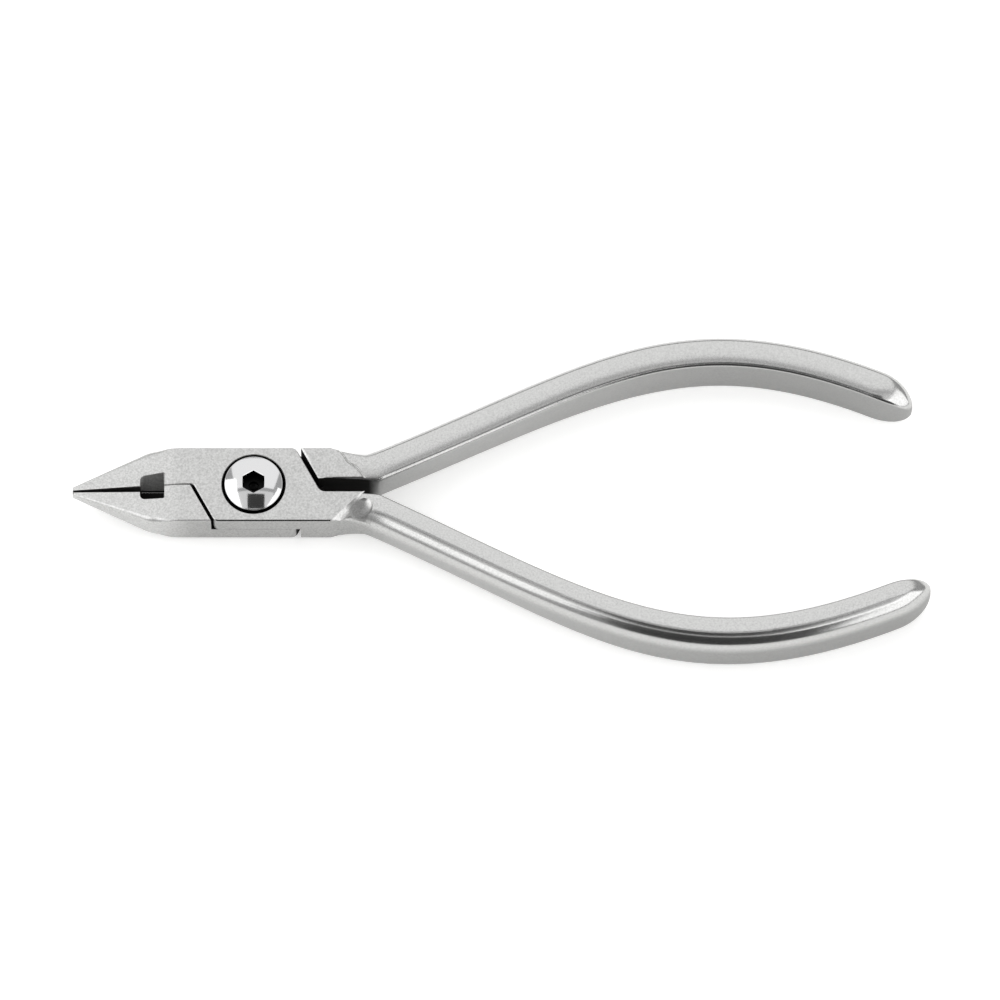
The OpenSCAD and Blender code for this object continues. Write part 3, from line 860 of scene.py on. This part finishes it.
def makeLever(name, reach, lean, bore):
    # plate and handle joined, then everything cut out of them
    tools = [(backCutter(), "DIFFERENCE"), (windowCutter(), "DIFFERENCE"),
             (bevelCutter(), "DIFFERENCE"), (handleSolid(reach, lean), "UNION")]
    tools += [(cutter, "DIFFERENCE") for cutter in neckCutters()]
    solid = combined(plateSolid(), tools + [(bore, "DIFFERENCE")])
    solid.name = name
    markPaintedShade(solid, leverPaintedShade)
    return solid


steel = leverSteel()
lean = handleShape["lean"]
frontLever = finished(makeLever("frontLever", handleShape["frontReach"], lean, counterboreCutter()),
                      0, midHeight, "front", "front_lever", steel)
print("front lever made:", len(frontLever.data.polygons), "faces, volume mm3",
      round(signedVolume(frontLever.data) * 1e9, 1))
rearLever = finished(makeLever("rearLever", handleShape["rearReach"], -lean, threadCutter()),
                     math.pi, midHeight, "rear", "rear_lever", steel)
print("rear lever made:", len(rearLever.data.polygons), "faces, volume mm3",
      round(signedVolume(rearLever.data) * 1e9, 1))


def screwSolid():
    # The head's dome is part of a sphere: height = top - R + sqrt(R^2 - r^2), R = (a^2 + h^2) / (2 h)
    # for a cap of radius a and height h. The rim's edge is a small quarter round.
    s = screwShape
    top = 2 * halfThick
    rim = top + s["headStand"]
    under = top - s["headSeat"] + s["seatGap"]
    edge = s["rimRound"]
    capRadius = headRadius - edge
    sphere = (capRadius ** 2 + s["dome"] ** 2) / (2 * s["dome"])
    nearAxis = 0.04             # radians, where the dome's rings stop
    radii = capRadius * np.sin(np.linspace(math.pi / 2, nearAxis, 40))
    dome = np.column_stack([radii, rim + s["dome"] - sphere + np.sqrt(sphere ** 2 - radii ** 2)])
    angles = np.linspace(0, math.pi / 2, 6)[:-1]
    corner = np.column_stack([capRadius + edge * np.cos(angles), rim - edge + edge * np.sin(angles)])
    thread, shank = s["thread"] / 2, s["shank"] / 2
    cutOff, end, underEdge = s["threadEdge"], s["threadEnd"], s["underEdge"]
    base = np.array([(thread - cutOff, end), (thread, end + cutOff), (thread, halfThick),
                     (shank, halfThick), (shank, under), (headRadius - underEdge, under),
                     (headRadius, under + underEdge)])
    solid = lathed("pivotScrew", np.vstack([base, corner, dome]), 128)
    summit = rim + s["dome"]
    mouth = summit - s["socketMouth"]
    bottom = summit - s["socketDepth"]
    across = s["socket"] / math.sqrt(3)
    chamfer = s["socketChamfer"]
    past = 0.6                  # how far the chamfer's cutter goes on above the mouth
    turn = math.radians(s["socketTurn"])
    hexRings = []
    for radius, z in ((across, bottom), (across, mouth - chamfer),
                      (across + chamfer + past, mouth + past)):
        ring = circle(radius, z, 6)
        ring[:, :2] = turned(ring[:, :2], turn)
        hexRings.append(ring)
    socket = closedStack("socket", hexRings)
    drill, deepest = s["drill"] / 2, bottom - s["drillDepth"]
    point = 0.02                # radius at the very tip of the drilled cone
    hole = lathed("drillHole", [(point, deepest - s["drillTip"]), (drill, deepest),
                                (drill, bottom + over / 2)], 48)
    combined(solid, [(socket, "DIFFERENCE"), (hole, "DIFFERENCE")])

    def screwPaintedShade(centres, directions):
        # painted shade on the socket's walls and floor, the drilled hole, and what lies between the joint's
        # faces
        belowMouth, belowTop, aboveEnd = 0.15, 0.1, 0.3
        radius, z = np.hypot(centres[:, 0], centres[:, 1]), centres[:, 2]
        return ((radius < across) & (z < mouth - belowMouth)) | ((z < top - belowTop) & (z > aboveEnd))

    markPaintedShade(solid, screwPaintedShade)
    return solid


pivotScrew = finished(screwSolid(), 0, 0, "rear", "pivot_screw", screwSteel())
print("pivot screw made:", len(pivotScrew.data.polygons), "faces")

setShape = {
    "floorSize": 4.0,           # m
    "floorColour": "#F2F2F1",
    "floorGlow": 0.33,          # what the floor adds to its own light, where seen, so that it is white
    "worldColour": "#FFFFFF",
    "worldStrength": 0.5,
    "cardColour": "#484848",
}


def addBoard(name, corners, material):
    # a flat board with four corners, in metres
    mesh = bpy.data.meshes.new(name)
    mesh.from_pydata([tuple(corner) for corner in corners], [], [(0, 1, 2, 3)])
    mesh.materials.append(material)
    board = bpy.data.objects.new(name, mesh)
    bpy.context.scene.collection.objects.link(board)
    return board


def mattBoard(name, colour):
    # plain matt board: scattered light only
    material, tree = emptyMaterial(name)
    shader = addNode(tree, "ShaderNodeBsdfDiffuse", {"Color": linear(colour)})
    addNode(tree, "ShaderNodeOutputMaterial", {}, {"Surface": shader.outputs["BSDF"]})
    return material


def addFloor():
    # Matt white board. Where it is seen, also in mirrors or through glass, a faint glow is added to it,
    # so that it is white but keeps the object's shadow.
    size = setShape["floorSize"] / 2
    z = cadBox[0][2]
    material = mattBoard("whiteBoard", setShape["floorColour"])
    tree = material.node_tree
    rays = addNode(tree, "ShaderNodeLightPath").outputs
    seen = addNode(tree, "ShaderNodeMath", {"operation": "MAXIMUM"}, {
        0: rays["Is Camera Ray"], 1: rays["Is Glossy Ray"]}).outputs["Value"]
    seen = addNode(tree, "ShaderNodeMath", {"operation": "MAXIMUM"}, {
        0: seen, 1: rays["Is Transmission Ray"]}).outputs["Value"]
    strength = addNode(tree, "ShaderNodeMapRange", {3: 0, 4: setShape["floorGlow"]},
                       {0: seen}).outputs["Result"]
    glow = addNode(tree, "ShaderNodeEmission", {"Color": linear("#FFFFFF")},
                   {"Strength": strength}).outputs["Emission"]
    output = tree.nodes["Material Output"]
    matt = output.inputs["Surface"].links[0].from_socket
    both = addNode(tree, "ShaderNodeAddShader", {}, {0: matt, 1: glow}).outputs["Shader"]
    tree.links.new(both, output.inputs["Surface"])
    addBoard("floor", [(-size, -size, z), (size, -size, z), (size, size, z), (-size, size, z)], material)


centre = (np.array(cadBox[0]) + np.array(cadBox[1])) / 2


def direction(azimuth, elevation):
    # unit vector towards that place on the sky: azimuth 0 is -Y, 90 is +X
    a, e = math.radians(azimuth), math.radians(elevation)
    return np.array([math.sin(a) * math.cos(e), -math.cos(a) * math.cos(e), math.sin(e)])


def aimed(thing, azimuth, elevation, distance):
    # places a lamp, card or camera on the sky round the object, looking at its centre
    back = direction(azimuth, elevation)
    thing.location = centre + back * distance
    thing.rotation_euler = Vector(-back).to_track_quat("-Z", "Y").to_euler()


lamps = [
    # name, azimuth, elevation, distance m, width m, height m, brightness added to the world's
    ("backBox", 180, 49, 0.9, 1.2, 1.0, 0.6),
    ("leftBox", -78, 34, 0.8, 1.2, 0.85, 1.1),
    ("rightBox", 60, 34, 0.8, 1.1, 0.85, 1.1),
    ("topBox", 0, 80, 0.9, 1.1, 0.5, 0.35),
]


def addLamps():
    # a flat lamp of area A that looks as bright as b sends out 4 A b watts
    for name, azimuth, elevation, distance, width, height, brightness in lamps:
        data = bpy.data.lights.new(name, "AREA")
        data.shape = "RECTANGLE"
        data.size, data.size_y = width, height
        data.energy = brightness * width * height * 4
        lamp = bpy.data.objects.new(name, data)
        bpy.context.scene.collection.objects.link(lamp)
        aimed(lamp, azimuth, elevation, distance)
        lamp.visible_camera = False


cards = [
    # name, azimuth, elevation, distance m, width m, height m
    ("upperCard", 0, 77.5, 0.6, 0.31, 0.27),
    ("frontCard", 0, 28, 0.6, 0.6, 0.6),
]


def addCards():
    # dark cards in front, which the metal mirrors as dark streaks
    material = mattBoard("blackCard", setShape["cardColour"])
    for name, azimuth, elevation, distance, width, height in cards:
        back = direction(azimuth, elevation)
        across = direction(azimuth + 90, 0)
        up = np.cross(back, across)
        middle = centre + back * distance
        right, top = across * width / 2, up * height / 2
        corners = [middle - right - top, middle + right - top, middle + right + top, middle - right + top]
        addBoard(name, corners, material).visible_camera = False


def addWorld():
    # the same light from all round
    world = bpy.data.worlds.new("studio")
    bpy.context.scene.world = world
    world.use_nodes = True
    world.node_tree.nodes.clear()
    light = addNode(world.node_tree, "ShaderNodeBackground", {
        "Color": linear(setShape["worldColour"]), "Strength": setShape["worldStrength"]})
    addNode(world.node_tree, "ShaderNodeOutputWorld", {}, {"Surface": light.outputs["Background"]})


view = {
    "azimuth": 0.0,
    "elevation": 67.5,
    "distance": 1.5,            # m
    "across": 145.7,            # mm that the picture shows at the joint's height
    "target": (35.84, -1.14, 3.3),
    "sensor": 36.0,             # mm
    "clip": (0.05, 20.0),       # m
}


def addCamera():
    # focal length = sensor * distance / what the picture shows across
    data = bpy.data.cameras.new("camera")
    data.sensor_width = view["sensor"]
    data.lens = data.sensor_width * view["distance"] / (view["across"] * toMetres)
    data.clip_start, data.clip_end = view["clip"]
    camera = bpy.data.objects.new("camera", data)
    bpy.context.scene.collection.objects.link(camera)
    aimed(camera, view["azimuth"], view["elevation"], view["distance"])
    back = direction(view["azimuth"], view["elevation"])
    camera.location = np.array(view["target"]) * toMetres + back * view["distance"]
    bpy.context.scene.camera = camera


addFloor()
addLamps()
addCards()
addWorld()
addCamera()
bpy.context.scene.view_settings.view_transform = "Standard"
print("floor, lamps and camera placed")
